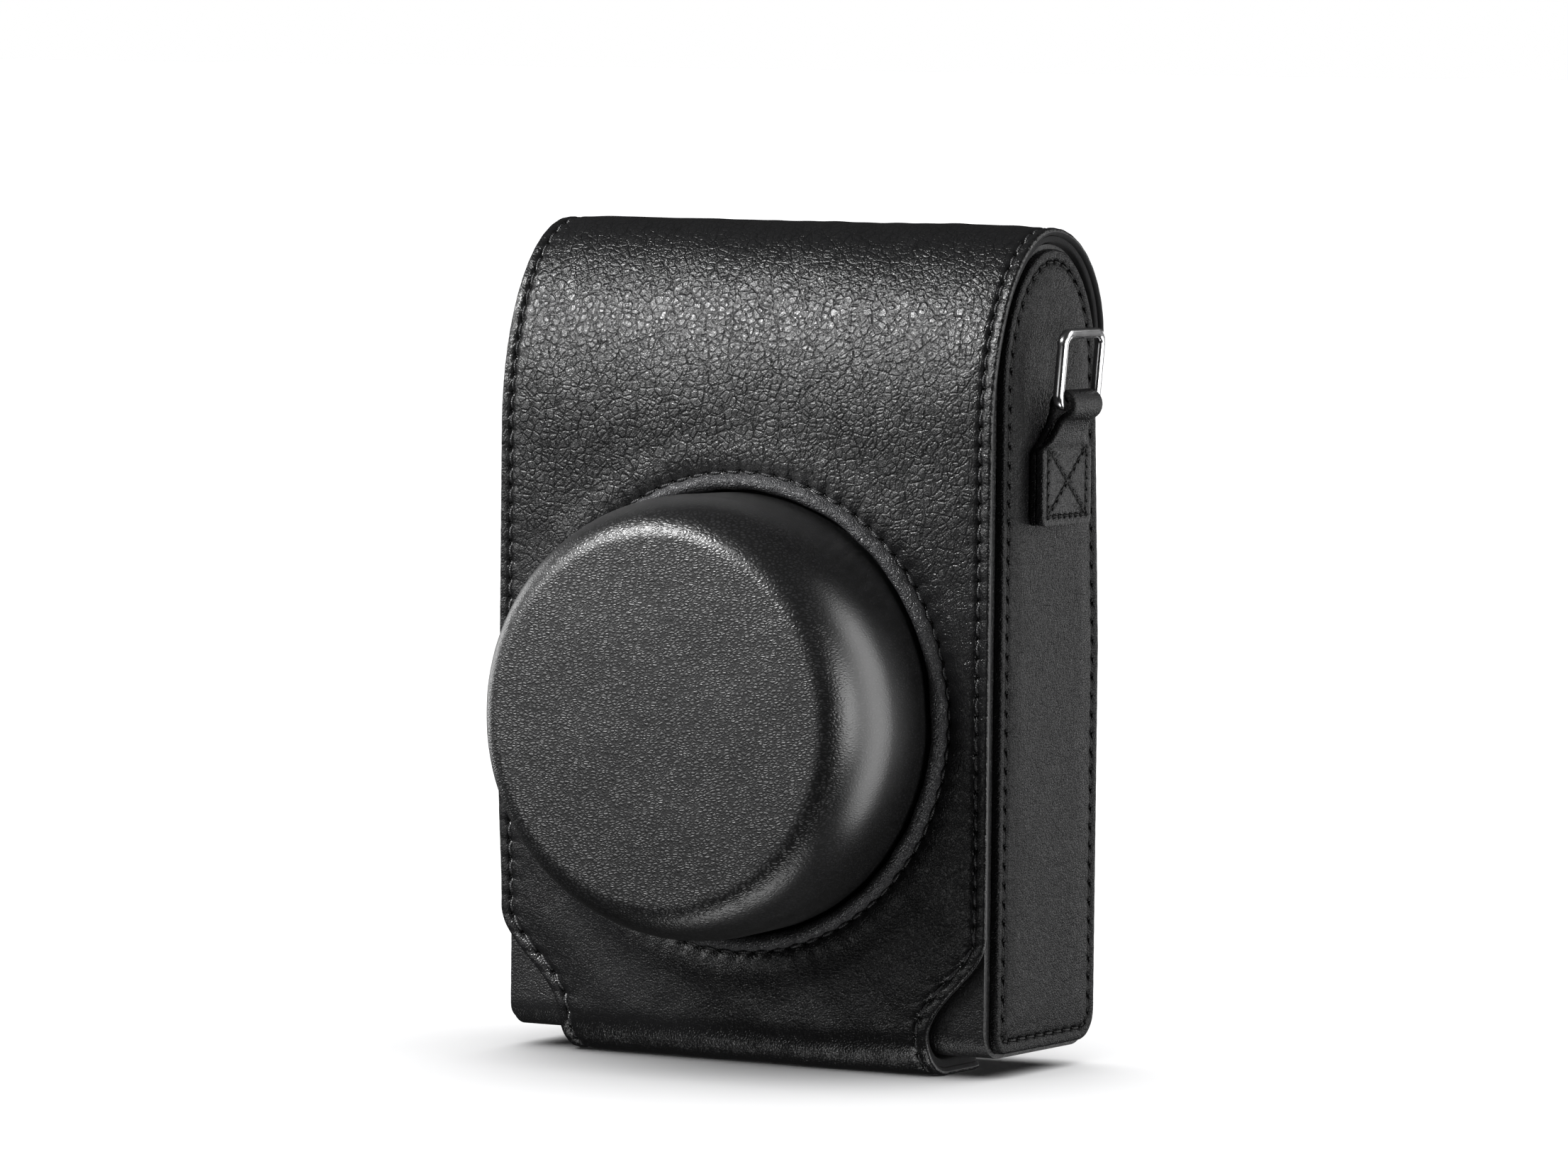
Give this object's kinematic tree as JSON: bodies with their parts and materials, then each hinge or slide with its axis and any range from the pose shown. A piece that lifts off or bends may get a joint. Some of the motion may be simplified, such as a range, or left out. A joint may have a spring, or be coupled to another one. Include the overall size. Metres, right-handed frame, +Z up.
{
  "type": "camera case",
  "caption": "Upright leather case for a compact camera: arched top, flap that wraps under the base as a tongue, moulded lens cup, strap rings on the sides.",
  "frame": {"origin": "on the underside of the tongue that the case stands on, in the middle of the width and of the depth without the cup", "axes": "+X to the right seen from the front, -Y out of the front where the cup is, +Z up"},
  "size_m": [0.1082, 0.0665, 0.14],
  "materials": {
    "black_leather": "pebbled black grain with a soft sheen, smoother on the moulded cup",
    "dark_lining": "dark grey suede-like microfibre, matte",
    "stiffener_board": "pressed grey fibre board, matte",
    "magnet_steel": "plain plated",
    "ring_metal": "polished plating"
  },
  "bodies": {
    "case": {"body_shell": "black_leather", "left_side_panel": "black_leather", "right_side_panel": "black_leather", "back_panel": "black_leather", "left_ring_tab": "black_leather", "right_ring_tab": "black_leather", "back_board": "stiffener_board", "base_board": "stiffener_board", "front_board": "stiffener_board", "left_side_board": "stiffener_board", "right_side_board": "stiffener_board", "back_lining": "dark_lining", "base_lining": "dark_lining", "front_lining": "dark_lining", "left_side_lining": "dark_lining", "right_side_lining": "dark_lining", "base_magnet": "magnet_steel"},
    "flap_top": {"flap_top_leather": "black_leather", "flap_top_lining": "dark_lining"},
    "flap_front": {"flap_front_leather": "black_leather", "flap_front_lining": "dark_lining", "lens_cup": "black_leather", "lens_cup_lining": "dark_lining", "cup_welt": "black_leather"},
    "tongue": {"tongue_leather": "black_leather", "tongue_lining": "dark_lining", "tongue_keeper": "magnet_steel"},
    "left_ring": {"left_ring": "ring_metal"},
    "right_ring": {"right_ring": "ring_metal"}
  },
  "joints": [
    {"name": "flap_back_fold", "type": "hinge", "parent": "case", "child": "flap_top", "pos_m": [0, 0.0196, 0.1215], "axis": [-1, 0, 0], "range_deg": [0, 120]},
    {"name": "flap_front_fold", "type": "hinge", "parent": "flap_top", "child": "flap_front", "pos_m": [0, -0.0196, 0.105], "axis": [-1, 0, 0], "range_deg": [0, 120]},
    {"name": "tongue_fold", "type": "hinge", "parent": "flap_front", "child": "tongue", "pos_m": [0, -0.01726, 0.00234], "axis": [-1, 0, 0], "range_deg": [0, 80]},
    {"name": "left_ring_swing", "type": "hinge", "parent": "case", "child": "left_ring", "pos_m": [-0.0515, 0.0015, 0.111], "axis": [0, -1, 0], "range_deg": [-18, 170]},
    {"name": "right_ring_swing", "type": "hinge", "parent": "case", "child": "right_ring", "pos_m": [0.0515, 0.0015, 0.111], "axis": [0, 1, 0], "range_deg": [-18, 170]}
  ],
  "couplings": [
    {"joint": "flap_front_fold", "follows": "flap_back_fold", "ratio": 1}
  ]
}
